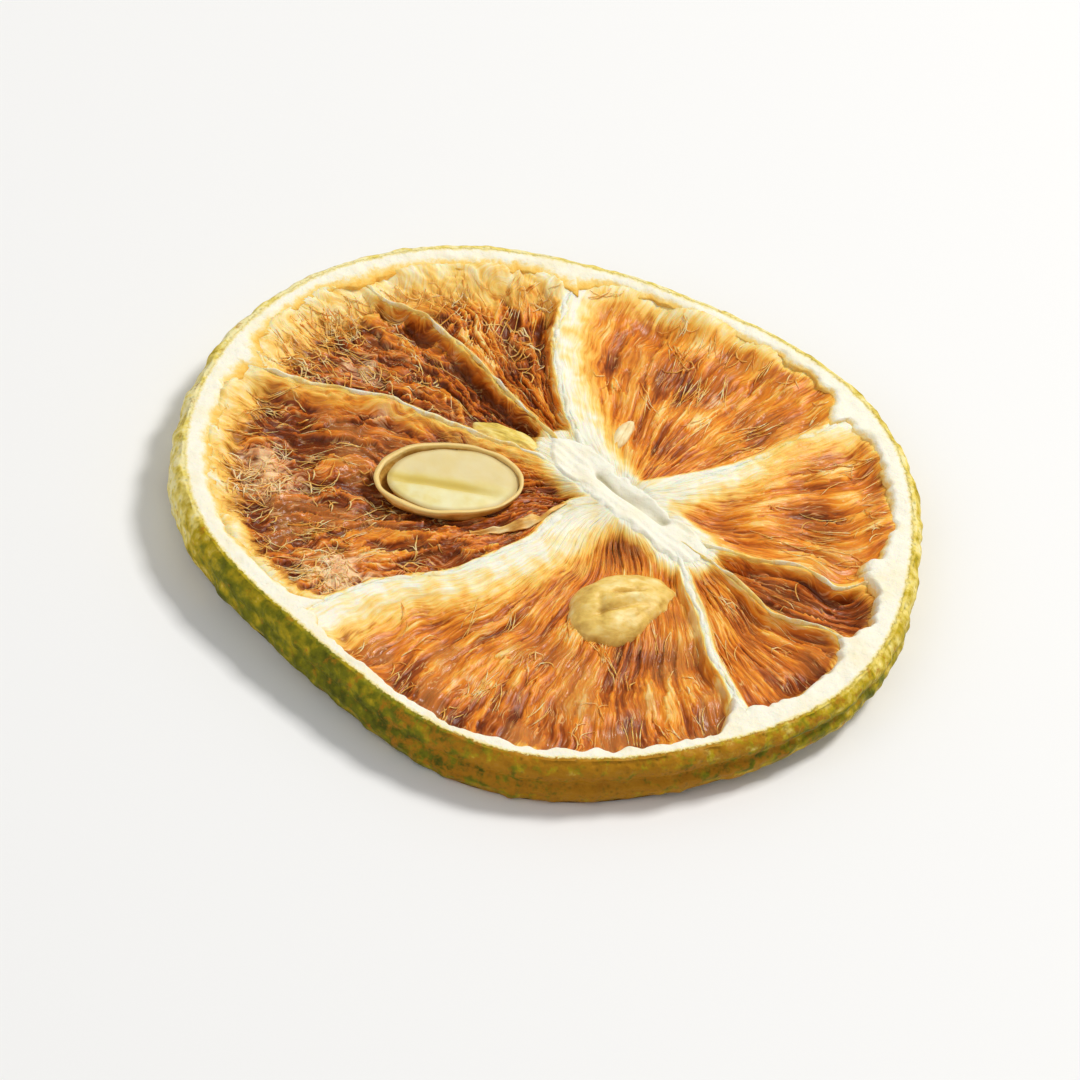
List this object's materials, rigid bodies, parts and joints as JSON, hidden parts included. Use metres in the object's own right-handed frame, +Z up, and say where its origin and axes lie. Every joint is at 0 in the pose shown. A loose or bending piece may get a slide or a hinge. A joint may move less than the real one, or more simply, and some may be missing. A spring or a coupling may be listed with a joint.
{
  "type": "dried lemon slice",
  "caption": "Dried lemon slice: thin warped disc with peel, pith, segment walls, sunken ribbed pulp, a cut seed in its open coat and whole seeds standing out of its upper face.",
  "frame": {"origin": "centre of the slice's bounding box, on the surface it rests on", "axes": "+Z up out of the upper cut face; +X along the slice's longest width, from the cut seed's side to the core's side; +Y away from the side that the picture shows nearest"},
  "size_m": [0.0549, 0.0535, 0.0045],
  "materials": {
    "pulp": "glassy dried amber pulp with radial strands",
    "pith": "matte creamy white pith, slightly fibrous",
    "peel": "satin olive green peel with oil gland dimples and brown mottling",
    "seed_coat": "matte tan seed coat, papery at its edge",
    "seed_kernel": "satin pale greenish cream",
    "whole_seed": "satin straw yellow, finely wrinkled"
  },
  "bodies": {
    "root": {"lemon_slice": "pulp", "cut_seed_coat": "seed_coat", "cut_seed_kernel": "seed_kernel", "whole_seed": "whole_seed", "flat_seed": "whole_seed", "seed_chip": "seed_kernel"}
  },
  "joints": []
}
